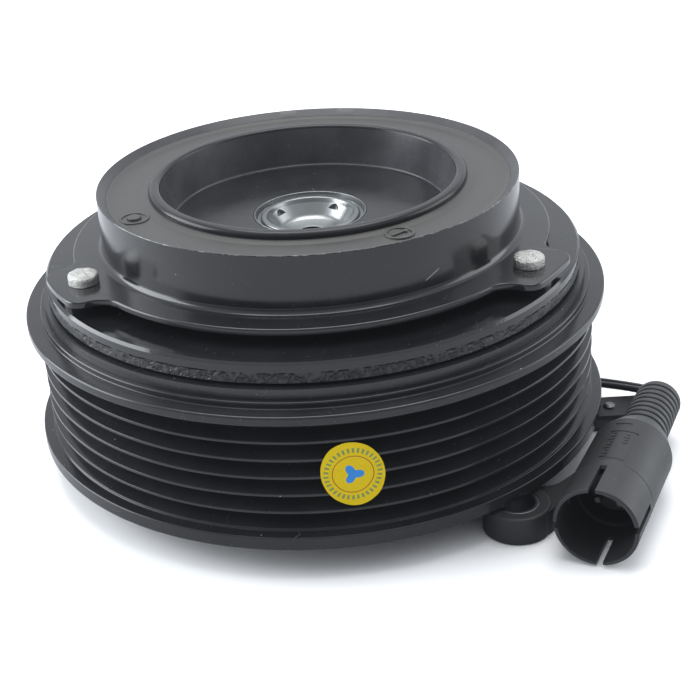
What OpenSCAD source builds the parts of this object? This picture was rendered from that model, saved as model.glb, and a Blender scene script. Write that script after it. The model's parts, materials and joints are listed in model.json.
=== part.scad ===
// Electromagnetic clutch of a belt-driven compressor, with a field coil,
// a grooved pulley on a double-row bearing and a rubber-damped hub.
// Origin: on the shaft axis, at the rear mounting face of the field coil.
// +Z points along the shaft towards the hub. Lengths are in millimetres.

/* [Belt pulley] */
// Number of belt grooves
groove_count = 6; // [5:1:6]
// Distance from one belt groove to the next
groove_pitch = 3.56; // [3.5:0.02:3.56]
// Radius over the crests between the grooves
crest_r = 56.2; // [56:0.1:56.6]
// Radius at the bottom of a groove
root_r = 53; // [52.8:0.1:53.2]
// Width of the flat at the bottom of a groove
root_w = 0.7; // [0.5:0.1:0.8]
// Full angle between the two flanks of a groove
groove_angle = 40; // [38:1:40]
// Height of the lowest groove's centre
first_groove_z = 10.84; // [10.8:0.02:10.9]
// Radius of the front flange
front_flange_r = 58.4; // [58:0.1:59]
// Radius of the rear flange
rear_flange_r = 58.4; // [58:0.1:58.6]
// Height of the pulley's rear edge
pulley_rear_z = 6; // [6:0.1:6.4]

/* [Rotor] */
// Height of the friction face
face_z = 36.4; // [36.3:0.1:36.4]
// Radius of the friction disc
disc_r = 54.4; // [54.2:0.1:54.6]
// Thickness of the friction disc
disc_t = 4.4; // [4.2:0.1:4.4]
// Outer radius of the tube that the pulley ring is pressed on
drum_r = 50.5; // [50.4:0.1:50.6]
// Wall of that tube
drum_wall = 2.2; // [2:0.1:2.2]
// Outer radius of the tube round the bearing
inner_tube_r = 29.7; // [29.5:0.1:29.7]

/* [Bearing] */
// Radius of the bore that slides on the compressor's nose
bearing_bore_r = 17.5; // [17.5:0.5:17.5]
// Outside radius of the bearing
bearing_r = 25; // [25:0.5:25]
// Width of the bearing
bearing_w = 20; // [20:1:20]
// Diameter of a ball
ball_d = 4.762; // [4.5:0.01:4.762]
// Balls in one row
balls_per_row = 20; // [16:1:20]

/* [Field coil] */
// Outside radius of the coil housing
coil_r = 47.6; // [47.4:0.1:47.6]
// Inside radius of the coil housing
coil_bore_r = 30.4; // [30.4:0.1:30.6]
// Height of the coil housing's open end
coil_front_z = 30.6; // [30:0.1:30.6]
// Thickness of the mounting plate
plate_t = 2.5; // [2.5:0.1:2.5]
// Radius of the register bore in the mounting plate
register_r = 27.5; // [27:0.1:27.5]

/* [Armature and hub] */
// Air gap between the friction face and the armature plate
air_gap = 0.5; // [0.4:0.05:0.6]
// Radius of the armature plate
armature_r = 53.4; // [53:0.1:53.6]
// Thickness of the armature plate
armature_t = 4; // [3.8:0.1:4]
// Distance of the rivets from the axis
rivet_pitch_r = 48; // [47.8:0.1:48.2]
// Angle of the first rivet
first_rivet_angle = -33; // [-40:1:-20]
// Height of the shell's ears above the armature plate
ear_gap = 2.2; // [2:0.1:2.2]
// Outside radius of the damper shell
shell_r = 41.6; // [41.4:0.1:41.8]
// Wall of the damper shell
shell_wall = 1.7; // [1.6:0.1:1.8]
// Height of the damper shell's rim
shell_top_z = 55.9; // [55.6:0.1:56]
// Radius of the shell's foot between the ears
shell_foot_r = 47.5; // [47:0.1:47.6]
// Thickness of the shell's foot and ears
shell_foot_t = 1.3; // [1.2:0.1:1.3]
// Radius of the cup's floor
cup_floor_r = 27.6; // [27.4:0.1:27.8]
// Inside radius of the cup's mouth
cup_mouth_r = 29.3; // [29.2:0.1:29.4]
// Height of the cup's floor
cup_floor_z = 47.4; // [47.3:0.1:47.4]
// Height of the cup's lip
cup_lip_z = 55.7; // [55.6:0.1:55.8]
// Radius of the silver disc at the middle of the hub
hub_disc_r = 9.9; // [9.8:0.1:10]
// Radius of the shaft bore
shaft_bore_r = 5.6; // [5.4:0.1:5.6]

/* [Connector] */
// Middle of the connector's mouth
mouth_at = [47.3, -59.8, 8.2];
// Direction of the connector's axis, seen from the front
connector_angle = 65; // [63:1:66]
// Slope of the connector down towards its rear, where it rests on the table
connector_slope = 0.8; // [0.6:0.1:0.8]
// Radius of the plug sleeve at the mouth
sleeve_r = 7.8; // [7.6:0.1:7.8]
// Radius of the housing's body where it meets the sleeve
body_r = 7.75; // [7.6:0.05:7.75]
// Radius of the body where its rear cone begins
cone_r = 7.7; // [7.5:0.05:7.7]
// Length of the housing from its mouth to the end of its cone
housing_l = 32.6; // [32.4:0.1:32.8]
// Ribs of the strain-relief boot
boot_ribs = 8; // [7:1:9]
// Middle of the fixing eye
eye_at = [35.4, -45.7];
// Outside radius of the fixing eye
eye_r = 6.4; // [6.2:0.1:6.6]
// Height of the fixing eye
eye_h = 5.5; // [5:0.1:5.6]
// Radius of the hole in the metal sleeve of the eye
eye_hole_r = 3.2; // [3.1:0.1:3.3]

/* [Hidden] */
$fn = 96;
eps = 0.01;

// Locating hole for the compressor's dowel
locating_hole_r = 2.1;
locating_pitch_r = 38;
locating_angle = 150;

// Pulley
flank_w = (crest_r - root_r) * tan(groove_angle / 2);
groove_half_w = root_w / 2 + flank_w;
front_flange_z = 33.15;
front_flange_t = 1.75;
rear_flange_z = 8.6;
shoulder_r = 55.4;
shoulder_z = 34.4;
edge = 0.2;

// Rotor
disc_rear_z = face_z - disc_t;
tube_rear_z = 7;
lip_r = 23.4;
lip_t = 2;
front_bore_r = 24.5;
circlip_w = 1.3;
circlip_groove_r = 26.1;
circlip_r = 23.4;
inner_slot = [32.6, 34.4];
outer_slot = [44.4, 46.2];
inner_slot_bridge = 7;
outer_slot_bridge = 8;
slots_per_ring = 4;
friction_r = [37.5, 41.5];
friction_t = 1.5;
friction_recess = 0.05;

// Bearing
bearing_rear_z = 9;
bearing_front_z = bearing_rear_z + bearing_w;
pitch_r = (bearing_bore_r + bearing_r) / 2;
row_offset = 4.3;
bearing_mid_z = bearing_rear_z + bearing_w / 2;
row_z = [bearing_mid_z - row_offset, bearing_mid_z + row_offset];
race_play = 0.06;
cage_play = 0.1;
cage_half_w = 0.8;
cage_inset = 1.8;
race_r = ball_d / 2 + race_play;
inner_land_r = 19.9;
outer_land_r = 22.6;
seal_t = 0.8;
seal_inset = 0.4;

// Coil
coil_wall = 2.2;
coil_floor_z = 5.7;
winding_inner_r = 34.2;
winding_outer_r = 44.4;
bobbin_rear_z = 6;
bobbin_front_z = 29;
bobbin_wall = 1.2;
bobbin_rim = 0.4;
potting_front_z = 30.2;
snap_ring_in = 0.9;
snap_ring_out = 2.3;
coil_ring_t = 1.6;
bearing_ring_t = 1.5;
spring_ring_gap = 6;

// Armature, shell and rivets
armature_rear_z = face_z + air_gap;
armature_front_z = armature_rear_z + armature_t;
foot_z = armature_front_z + ear_gap;
foot_top_z = foot_z + shell_foot_t;
shell_bore_r = shell_r - shell_wall;
rim_bevel = 1.5;
rim_bevel_z = shell_top_z - rim_bevel;
armature_bore_r = 29.5;
armature_slot = [38.6, 40.4];
armature_slot_bridge = 9;
ear_end_r = armature_r + 0.4;
ear_half_w = 8.5;
ear_corner_r = 3;
ear_fillet_r = 4.5;
spacer_r = 4.4;
rubber_rear_z = 45.4;
rivet_count = 3;
rivet_shank_r = 2.5;
rivet_head_r = 3.1;
rivet_head_h = 2.2;
rivet_sink_r = 4;
rivet_sink_h = 1.5;
rivet_recess = 0.2;

// Hub
cup_wall = 1.8;
cup_floor_t = 1.5;
cup_corner = 1.4;
bead_rear_z = 53;
bead_w = 0.4;
bead_r = cup_mouth_r + cup_wall + bead_w;
hub_groove_w = 1.4;
hub_groove_d = 1.2;
hub_disc_z = cup_floor_z - 0.3;
dish_r = 8.5;
dish_floor_r = 6;
dish_floor_z = 43.6;
hub_shoulder_r = 14;
hub_shoulder_z = 43.4;
hub_boss_r = 9.5;
hub_rear_z = 33;
hub_web_z = 41.6;
shaft_bolt_r = 2.7;
stake_r = 1.3;
stake_pitch_r = 6.7;
stake_depth = 2.3;
stake_angle = 52;
stakes = 4;
shim_t = 0.4;
shim_r = 8.5;
shim_count = 2;

// Connector
slot_w = 1.3;
slot_l = 8.6;
slot_roll = 7;
sleeve_l = 10.5;
sleeve_bore_r = 6.6;
socket_l = 20;
cone_start = 27;
neck_r = 5.9;
neck_z = 31.8;
seal_r = 4.6;
seal_z = [24, 29.5];
seal_bore_l = 10.5;
spigot_r = 3.5;
spigot_bore_r = 2.6;
spigot_l = 40;
boot_base_r = 4.85;
boot_tip_r = 4.6;
boot_bore_r = 2.3;
boot_rib_h = 0.7;
boot_rib_share = 0.62;
boot_start = housing_l + 0.2;
boot_end = 50.2;
boot_nose = 2.2;
boot_pitch = (boot_end - boot_nose - boot_start) / boot_ribs;
pin_r = 0.75;
pin_offset = 2;
pin_tip_z = 9;
pin_rear_z = 23;
carrier_r = 4;
carrier_l = 6;
eye_sleeve_r = 4.2;
eye_arm_l = 19;
eye_arm_w = 5.2;
eye_arm_angle = 40;
wire_r = 0.7;
wire_offset = 0.7;
wire_z = 4.2;
wire_exit_y = 1.2;
wire_end_x = 43;
play = 0.05;

// Notch and grommet where the wires leave the coil
notch_w = 5.2;
notch_h = 3;
notch_x = 42;
grommet_x = 44;
grommet_flange_w = 6;
grommet_flange_h = 3.2;
grommet_flange_t = 2;

// Bracket strip on the plate's tongue
strip_x = [50, 67.5];
strip_y = [-12.9, -5];
strip_t = 1;
strip_corner_r = 2;
tongue_x = 62;
bracket_rivet_at = [59.5, -9];
bracket_head_r = 1.3;
bracket_head_h = 0.8;
rivet_foot_r = 1.6;
bracket_hole_r = 0.9;

// A ring with a square section
module ring(r_in, r_out, z0, z1) {
  translate([0, 0, z0]) difference() {
    cylinder(r = r_out, h = z1 - z0);
    translate([0, 0, -1]) cylinder(r = r_in, h = z1 - z0 + 2);
  }
}

// Copies of the children at equal steps round the axis
module around(count, start = 0) {
  for (i = [0 : count - 1]) rotate([0, 0, start + i * 360 / count]) children();
}

// Curved slots: a ring broken by bridges
module slot_arcs(r_in, r_out, count, bridge, z0, z1) {
  difference() {
    ring(r_in, r_out, z0, z1);
    around(count) translate([0, -bridge / 2, z0 - 1]) cube([r_out + 1, bridge, z1 - z0 + 2]);
  }
}

// The three rivet places of the armature
module at_rivets() {
  around(rivet_count, first_rivet_angle) translate([rivet_pitch_r, 0, 0]) children();
}

// Connector frame: local +Z runs from the mouth to the rear, local -X is up
module on_connector() {
  translate(mouth_at) rotate([0, 0, connector_angle]) rotate([0, 90 + connector_slope, 0]) children();
}

// ---- Field coil ----
module mounting_plate() {
  color("dimgray") difference() {
    union() {
      cylinder(r = coil_r, h = plate_t);
      translate([0, strip_y[0], 0]) cube([tongue_x, strip_y[1] - strip_y[0], plate_t]);
    }
    translate([0, 0, -1]) cylinder(r = register_r, h = plate_t + 2);
    // Locating hole for the compressor's dowel
    rotate([0, 0, locating_angle]) translate([locating_pitch_r, 0, -1])
      cylinder(r = locating_hole_r, h = plate_t + 2);
    translate([bracket_rivet_at[0], bracket_rivet_at[1], 0]) {
      bracket_rivet_body();
      translate([0, 0, -1]) cylinder(r = rivet_foot_r, h = 1);
    }
  }
}

module coil_housing() {
  color("#202022") difference() {
    ring(coil_bore_r, coil_r, plate_t, coil_front_z);
    ring(coil_bore_r + coil_wall, coil_r - coil_wall, coil_floor_z, coil_front_z + 1);
    wire_notch();
  }
}

// Notch in the coil housing's floor that lets the wires out
module wire_notch() {
  translate([notch_x, wire_exit_y - notch_w / 2, plate_t - eps])
    cube([coil_r - notch_x + 1, notch_w, notch_h + eps]);
}

module coil_bobbin() {
  color("#c8c2a8") {
    difference() {
      ring(winding_inner_r - bobbin_wall, winding_outer_r + bobbin_rim, bobbin_rear_z, bobbin_front_z);
      ring(winding_inner_r, winding_outer_r + 1,
           bobbin_rear_z + bobbin_wall, bobbin_front_z - bobbin_wall);
    }
  }
}

module coil_winding() {
  color("#b5652a")
    ring(winding_inner_r, winding_outer_r, bobbin_rear_z + bobbin_wall, bobbin_front_z - bobbin_wall);
}

module coil_potting() {
  color("#2b2623") difference() {
    ring(coil_bore_r + coil_wall, coil_r - coil_wall, coil_floor_z, potting_front_z);
    ring(winding_inner_r - bobbin_wall, winding_outer_r + bobbin_rim, bobbin_rear_z, bobbin_front_z);
  }
}

// Ring that holds the coil on the compressor's register
module coil_retaining_ring() {
  color("silver") open_ring(register_r - snap_ring_in, register_r + snap_ring_out,
                            plate_t, plate_t + coil_ring_t, 60);
}

// Ring that holds the bearing on the compressor's nose
module bearing_retaining_ring() {
  color("silver") open_ring(bearing_bore_r - snap_ring_in, bearing_bore_r + snap_ring_out,
                            bearing_front_z, bearing_front_z + bearing_ring_t, 240);
}

// A flat spring ring with a gap at one angle
module open_ring(r_in, r_out, z0, z1, gap_angle) {
  difference() {
    ring(r_in, r_out, z0, z1);
    rotate([0, 0, gap_angle]) translate([0, -spring_ring_gap / 2, z0 - 1])
      cube([r_out + 1, spring_ring_gap, z1 - z0 + 2]);
  }
}

// ---- Wires and connector ----
// Centre line of the wires: straight out of the connector, a bend, straight to the coil
axis_dir = [cos(connector_angle) * cos(connector_slope), sin(connector_angle) * cos(connector_slope),
            -sin(connector_slope)];
boot_exit = mouth_at + boot_end * axis_dir;
bend_end = [57, wire_exit_y, wire_z];
bend_handles = [boot_exit + 4.2 * axis_dir, bend_end + [8, -4.4, 0.5]];
function bezier(t) = pow(1 - t, 3) * boot_exit + 3 * pow(1 - t, 2) * t * bend_handles[0]
                     + 3 * (1 - t) * t * t * bend_handles[1] + pow(t, 3) * bend_end;
bend_steps = 20;
wire_path = concat([mouth_at + (seal_z[0] + 1) * axis_dir, mouth_at + spigot_l * axis_dir],
                   [for (i = [0 : bend_steps]) bezier(i / bend_steps)],
                   [[coil_r + 4, wire_exit_y, wire_z], [wire_end_x, wire_exit_y, wire_z]]);

function unit(v) = v / norm(v);
// Direction of the path at a point
function path_dir(i) = unit(wire_path[min(i + 1, len(wire_path) - 1)] - wire_path[max(i - 1, 0)]);
// Sideways direction of the path at a point
function path_side(i) = unit(cross([0, 0, 1], path_dir(i)));

// A round wire that follows the path at a sideways distance
module wire(side_offset, sides = 16) {
  rings = len(wire_path);
  points = [for (i = [0 : rings - 1], k = [0 : sides - 1])
            let (s = path_side(i), u = cross(path_dir(i), s), a = k * 360 / sides)
            wire_path[i] + (side_offset + wire_r * cos(a)) * s + wire_r * sin(a) * u];
  walls = [for (i = [0 : rings - 2], k = [0 : sides - 1])
           let (n = (k + 1) % sides)
           [i * sides + k, i * sides + n, (i + 1) * sides + n, (i + 1) * sides + k]];
  caps = [[for (k = [sides - 1 : -1 : 0]) k], [for (k = [0 : sides - 1]) (rings - 1) * sides + k]];
  polyhedron(points, concat([for (w = walls) [w[3], w[2], w[1], w[0]]],
                            [for (c = caps) [for (j = [sides - 1 : -1 : 0]) c[j]]]));
}

module lead_wires() {
  color("#26262a") {
    wire(-wire_offset);
    wire(wire_offset);
  }
}

module wire_grommet() {
  color("#1c1c1e") difference() {
    union() {
      translate([grommet_x, wire_exit_y - notch_w / 2, plate_t])
        cube([coil_r - grommet_x, notch_w, notch_h]);
      translate([coil_r, wire_exit_y - grommet_flange_w / 2, plate_t])
        cube([grommet_flange_t, grommet_flange_w, grommet_flange_h]);
    }
    for (side = [-1, 1])
      translate([grommet_x - 4, wire_exit_y + side * wire_offset, wire_z])
        rotate([0, 90, 0]) cylinder(r = wire_r + play, h = 12);
  }
}

// Steel strip on the plate's tongue, under the wires
module wire_bracket() {
  middle_y = (strip_y[0] + strip_y[1]) / 2;
  half_w = (strip_y[1] - strip_y[0]) / 2;
  color("#2a2a2c") translate([0, 0, plate_t]) difference() {
    union() {
      translate([strip_x[0], strip_y[0], 0])
        cube([strip_x[1] - strip_corner_r - strip_x[0], 2 * half_w, strip_t]);
      translate([strip_x[0], strip_y[0] + strip_corner_r, 0])
        cube([strip_x[1] - strip_x[0], 2 * (half_w - strip_corner_r), strip_t]);
      for (side = [-1, 1])
        translate([strip_x[1] - strip_corner_r, middle_y + side * (half_w - strip_corner_r), 0])
          cylinder(r = strip_corner_r, h = strip_t);
    }
    translate([bracket_rivet_at[0], bracket_rivet_at[1], -1]) cylinder(r = bracket_hole_r, h = strip_t + 2);
  }
}

// Rivet with a domed head in front and a flush head behind
module bracket_rivet_body() {
  strip_top = plate_t + strip_t;
  rotate_extrude() polygon([
    [0, 0], [rivet_foot_r, 0], [bracket_hole_r, 1], [bracket_hole_r, strip_top],
    [bracket_head_r, strip_top],
    [bracket_head_r - 0.1, strip_top + bracket_head_h / 2],
    [bracket_head_r * 0.6, strip_top + bracket_head_h * 0.85], [0, strip_top + bracket_head_h]]);
}

module bracket_rivet() {
  color("#2a2a2c") translate([bracket_rivet_at[0], bracket_rivet_at[1], 0]) bracket_rivet_body();
}

module connector_housing() {
  color("#3a3a3d") difference() {
    union() {
      on_connector() rotate_extrude() polygon([
        [0, 0], [sleeve_r - 0.3, 0], [sleeve_r, 0.4], [sleeve_r, sleeve_l], [body_r, sleeve_l + 0.3],
        [cone_r, cone_start], [neck_r, neck_z], [boot_base_r, housing_l], [spigot_r, housing_l],
        [spigot_r, spigot_l], [0, spigot_l]]);
      translate([eye_at[0], eye_at[1], 0]) cylinder(r = eye_r, h = eye_h);
      eye_arm();
    }
    on_connector() {
      translate([0, 0, -1]) cylinder(r = sleeve_bore_r, h = socket_l + 1);
      translate([0, 0, socket_l - 1]) cylinder(r = seal_r, h = seal_bore_l + 1);
      translate([0, 0, socket_l]) cylinder(r = spigot_bore_r, h = 30);
      rotate([0, 0, -slot_roll]) for (turn = [0, 90])
        rotate([0, 0, turn]) translate([-sleeve_r - 1, -slot_w / 2, -1])
          cube([2 * sleeve_r + 2, slot_w, slot_l + 1]);
    }
    translate([eye_at[0], eye_at[1], -1]) cylinder(r = eye_sleeve_r, h = eye_h + 2);
  }
}

// Web between the eye and the housing
module eye_arm() {
  translate([eye_at[0], eye_at[1], 0]) rotate([0, 0, eye_arm_angle])
    translate([0, -eye_r, 0]) cube([eye_arm_l, eye_arm_w, eye_h - 0.3]);
}

module eye_sleeve() {
  color("silver") translate([eye_at[0], eye_at[1], 0]) ring(eye_hole_r, eye_sleeve_r, 0, eye_h);
}

module pin_carrier() {
  color("#2c2c2e") on_connector() difference() {
    union() {
      translate([0, 0, socket_l - 3]) cylinder(r = sleeve_bore_r - play, h = 3);
      translate([0, 0, socket_l - 7]) cylinder(r = carrier_r, h = carrier_l);
    }
    for (side = [-1, 1]) translate([0, side * pin_offset, 0]) cylinder(r = pin_r, h = 30);
  }
}

module terminal_pins() {
  color("gold") on_connector() for (side = [-1, 1])
    translate([0, side * pin_offset, pin_tip_z]) {
      cylinder(r1 = pin_r - 0.2, r2 = pin_r, h = 0.4);
      translate([0, 0, 0.4]) cylinder(r = pin_r, h = pin_rear_z - pin_tip_z - 0.4);
    }
}

module connector_seal() {
  color("#8a3b22") on_connector() difference() {
    translate([0, 0, seal_z[0]]) cylinder(r = seal_r - play, h = seal_z[1] - seal_z[0]);
    for (side = [-1, 1])
      translate([0, side * wire_offset, seal_z[0] - 1])
        cylinder(r = wire_r + play, h = seal_z[1] - seal_z[0] + 2);
  }
}

// Ribbed sleeve over the housing's spigot, with a rounded nose
module strain_relief_boot() {
  nose_z = boot_end - boot_nose;
  color("#303033") on_connector() difference() {
    union() {
      translate([0, 0, boot_start])
        cylinder(r1 = boot_base_r - boot_rib_h, r2 = boot_tip_r - boot_rib_h, h = nose_z - boot_start);
      for (i = [0 : boot_ribs - 1])
        translate([0, 0, boot_start + i * boot_pitch])
          cylinder(r = boot_base_r + (boot_tip_r - boot_base_r) * i / boot_ribs,
                   h = boot_pitch * boot_rib_share);
      translate([0, 0, nose_z]) rotate_extrude() union() {
        square([boot_tip_r - boot_nose, boot_nose]);
        translate([boot_tip_r - boot_nose, 0]) intersection() {
          circle(r = boot_nose, $fn = 48);
          square(boot_nose);
        }
      }
    }
    translate([0, 0, boot_start - 1]) cylinder(r = spigot_r, h = spigot_l - boot_start + 1.2);
    translate([0, 0, boot_start]) cylinder(r = boot_bore_r, h = boot_end);
  }
}

// ---- Pulley and rotor ----
// Outline of one groove, from its rear crest to its front crest
function groove_points(z) = [[crest_r, z - groove_half_w], [root_r, z - root_w / 2],
                             [root_r, z + root_w / 2], [crest_r, z + groove_half_w]];

module pulley_ring() {
  grooves = [for (i = [0 : groove_count - 1])
             each groove_points(first_groove_z + i * groove_pitch)];
  rear_edge = [[drum_r, pulley_rear_z], [rear_flange_r - 2 * edge, pulley_rear_z],
               [rear_flange_r, pulley_rear_z + 2 * edge], [rear_flange_r, rear_flange_z],
               [rear_flange_r - edge, rear_flange_z + edge]];
  front_edge = [[front_flange_r, front_flange_z - front_flange_t],
                [front_flange_r, front_flange_z - edge], [front_flange_r - edge, front_flange_z],
                [shoulder_r + edge, front_flange_z], [shoulder_r, front_flange_z + edge],
                [shoulder_r, shoulder_z - edge], [shoulder_r - edge, shoulder_z],
                [disc_r, shoulder_z], [disc_r, disc_rear_z], [drum_r, disc_rear_z]];
  color("#1b1b1d") rotate_extrude($fn = 180) polygon(concat(rear_edge, grooves, front_edge));
}

module rotor() {
  color("#2a2a2c") difference() {
    union() {
      ring(lip_r, inner_tube_r, tube_rear_z, face_z - 1);
      ring(drum_r - drum_wall, drum_r, tube_rear_z, disc_rear_z + eps);
      ring(lip_r, disc_r, disc_rear_z, face_z);
    }
    translate([0, 0, tube_rear_z - 1]) cylinder(r = bearing_r, h = bearing_front_z - tube_rear_z + 1);
    translate([0, 0, bearing_front_z + lip_t]) cylinder(r = front_bore_r, h = 20);
    ring(20, circlip_groove_r, bearing_rear_z - circlip_w - 0.1, bearing_rear_z);
    slot_arcs(inner_slot[0], inner_slot[1], slots_per_ring, inner_slot_bridge, disc_rear_z - 1, face_z + 1);
    rotate([0, 0, 180 / slots_per_ring])
      slot_arcs(outer_slot[0], outer_slot[1], slots_per_ring, outer_slot_bridge,
                disc_rear_z - 1, face_z + 1);
    ring(friction_r[0], friction_r[1], face_z - friction_t, face_z + 1);
  }
}

module friction_ring() {
  color("#5b4a38") ring(friction_r[0], friction_r[1], face_z - friction_t, face_z - friction_recess);
}

// Two ball tracks, cut from both bearing rings
module ball_tracks() {
  for (z = row_z) translate([0, 0, z]) rotate_extrude() translate([pitch_r, 0]) circle(r = race_r);
}

module bearing_inner_ring() {
  color("silver") difference() {
    ring(bearing_bore_r, inner_land_r, bearing_rear_z, bearing_front_z);
    ball_tracks();
  }
}

module bearing_outer_ring() {
  color("silver") difference() {
    ring(outer_land_r, bearing_r, bearing_rear_z, bearing_front_z);
    ball_tracks();
  }
}

module bearing_balls() {
  color("white") for (z = row_z) around(balls_per_row)
    translate([pitch_r, 0, z]) sphere(d = ball_d);
}

module bearing_cage() {
  color("#7a6a3c") difference() {
    ring(pitch_r - cage_half_w, pitch_r + cage_half_w,
         bearing_rear_z + cage_inset, bearing_front_z - cage_inset);
    for (z = row_z) around(balls_per_row)
      translate([pitch_r, 0, z]) sphere(d = ball_d + 2 * cage_play);
  }
}

module bearing_seal(z) {
  color("#6e2b1c") ring(inner_land_r + 2 * play, outer_land_r, z, z + seal_t);
}

module bearing_front_seal() {
  bearing_seal(bearing_front_z - seal_inset - seal_t);
}

module bearing_rear_seal() {
  bearing_seal(bearing_rear_z + seal_inset);
}

// Spring ring that keeps the bearing in the rotor
module bearing_circlip() {
  color("silver") open_ring(circlip_r, circlip_groove_r - 2 * play,
                            bearing_rear_z - circlip_w, bearing_rear_z, 120);
}

// Thin round label across the crests, at the front
module round_label() {
  label_angle = -84.4;
  label_z = 20;
  label_r = 6.1;
  label_t = 0.2;
  color("gold") intersection() {
    ring(crest_r, crest_r + label_t, 0, front_flange_z);
    rotate([0, 0, label_angle]) translate([root_r, 0, label_z])
      rotate([0, 90, 0]) cylinder(r = label_r, h = 10);
  }
}

// ---- Hub and armature ----
module hub_boss() {
  color("silver") difference() {
    rotate_extrude() polygon([
      [0, hub_rear_z], [hub_boss_r - 0.5, hub_rear_z], [hub_boss_r, hub_rear_z + 0.5],
      [hub_boss_r, hub_shoulder_z], [hub_shoulder_r, hub_shoulder_z],
      [hub_shoulder_r, cup_floor_z - cup_floor_t], [hub_disc_r, cup_floor_z - cup_floor_t],
      [hub_disc_r, hub_disc_z - 2 * edge], [hub_disc_r - 2 * edge, hub_disc_z], [dish_r + edge, hub_disc_z],
      [dish_r, hub_disc_z - edge], [dish_r - edge, hub_disc_z - 1.1],
      [dish_floor_r + 0.6, dish_floor_z + 0.7], [dish_floor_r, dish_floor_z], [0, dish_floor_z]]);
    translate([0, 0, hub_rear_z - 1]) cylinder(r = shaft_bore_r, h = hub_web_z - hub_rear_z + 1);
    translate([0, 0, hub_rear_z]) cylinder(r = shaft_bolt_r, h = 20);
    around(stakes, stake_angle)
      translate([stake_pitch_r, 0, hub_disc_z - stake_depth]) cylinder(r = stake_r, h = 2 * stake_depth);
  }
}

// Pressed cup with a floor, a sloping wall and a rolled lip
module hub_cup() {
  floor_under = cup_floor_z - cup_floor_t;
  color("#19191b") rotate_extrude($fn = 160) polygon([
    [hub_disc_r, floor_under], [cup_floor_r + 0.4, floor_under],
    [cup_floor_r + cup_wall, floor_under + cup_corner], [bead_r - bead_w - 0.1, bead_rear_z],
    [bead_r, bead_rear_z + 0.6], [bead_r, cup_lip_z - 0.7],
    [bead_r - 0.6, cup_lip_z - 0.1], [cup_mouth_r + 1, cup_lip_z],
    [cup_mouth_r + 0.2, cup_lip_z - 0.3], [cup_mouth_r, cup_lip_z - 0.9],
    [cup_floor_r, cup_floor_z + 0.3], [cup_floor_r - 0.3, cup_floor_z],
    [hub_disc_r + hub_groove_w + edge, cup_floor_z], [hub_disc_r + hub_groove_w, cup_floor_z - edge],
    [hub_disc_r + hub_groove_w, cup_floor_z - hub_groove_d], [hub_disc_r, cup_floor_z - hub_groove_d]]);
}

module shims() {
  color("#b8b8ba") for (i = [1 : shim_count])
    translate([0, 0, hub_rear_z - i * (shim_t + 0.02)]) ring(shaft_bore_r + 2 * play, shim_r, 0, shim_t);
}

// Rubber bonded between the cup and the shell
module rubber_damper() {
  color("#2b2b2c") rotate_extrude($fn = 160) polygon([
    [cup_floor_r + cup_wall, cup_floor_z - cup_floor_t + cup_corner], [shell_bore_r, rubber_rear_z],
    [shell_bore_r, rim_bevel_z], [bead_r, rim_bevel_z],
    [bead_r, bead_rear_z + 0.6], [bead_r - bead_w - 0.1, bead_rear_z]]);
}

// Outline of the foot with its three ears, seen from the front
module foot_outline() {
  offset(r = -ear_fillet_r, $fn = 48) offset(r = ear_fillet_r, $fn = 48) union() {
    circle(r = shell_foot_r, $fn = 160);
    around(rivet_count, first_rivet_angle)
      offset(r = ear_corner_r, $fn = 48) offset(delta = -ear_corner_r) intersection() {
        circle(r = ear_end_r, $fn = 160);
        translate([shell_bore_r - 6, -ear_half_w]) square([20, 2 * ear_half_w]);
      }
  }
}

module damper_shell() {
  color("#161618") difference() {
    union() {
      translate([0, 0, foot_z]) linear_extrude(shell_foot_t) foot_outline();
      rotate_extrude($fn = 160) polygon([
        [shell_bore_r - 1, foot_z], [shell_r + 1.2, foot_z], [shell_r + 1.2, foot_top_z],
        [shell_r + 0.4, foot_top_z + 0.3], [shell_r, foot_top_z + 1.1], [shell_r, shell_top_z],
        [shell_bore_r - 1, shell_top_z - rim_bevel * (shell_wall + 1) / shell_wall]]);
    }
    translate([0, 0, foot_z - 1]) cylinder(r = shell_bore_r, h = 20, $fn = 160);
    at_rivets() translate([0, 0, foot_z - 1]) cylinder(r = rivet_shank_r, h = 4);
  }
}

module armature_plate() {
  color("#222224") difference() {
    rotate_extrude($fn = 160) polygon([
      [armature_bore_r, armature_rear_z], [armature_r - 0.2, armature_rear_z],
      [armature_r, armature_rear_z + 0.2], [armature_r, armature_front_z - 0.5],
      [armature_r - 0.5, armature_front_z], [armature_bore_r, armature_front_z]]);
    slot_arcs(armature_slot[0], armature_slot[1], rivet_count, armature_slot_bridge,
              armature_rear_z - 1, armature_front_z + 1);
    at_rivets() {
      translate([0, 0, armature_rear_z - 1]) cylinder(r = rivet_shank_r, h = 8);
      translate([0, 0, armature_rear_z - eps]) cylinder(r = rivet_sink_r, h = rivet_recess + eps);
      translate([0, 0, armature_rear_z + rivet_recess])
        cylinder(r1 = rivet_sink_r, r2 = rivet_shank_r, h = rivet_sink_h);
    }
  }
}

module rivets() {
  sink_z = armature_rear_z + rivet_recess;
  color("gainsboro") at_rivets() rotate_extrude($fn = 48) polygon([
    [0, sink_z], [rivet_sink_r, sink_z], [rivet_shank_r, sink_z + rivet_sink_h],
    [rivet_shank_r, foot_top_z], [rivet_head_r, foot_top_z],
    [rivet_head_r, foot_top_z + rivet_head_h - 0.5],
    [rivet_head_r - 0.5, foot_top_z + rivet_head_h], [0, foot_top_z + rivet_head_h]]);
}

module rivet_spacers() {
  color("#232325") at_rivets() ring(rivet_shank_r, spacer_r, armature_front_z, foot_z);
}

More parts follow.
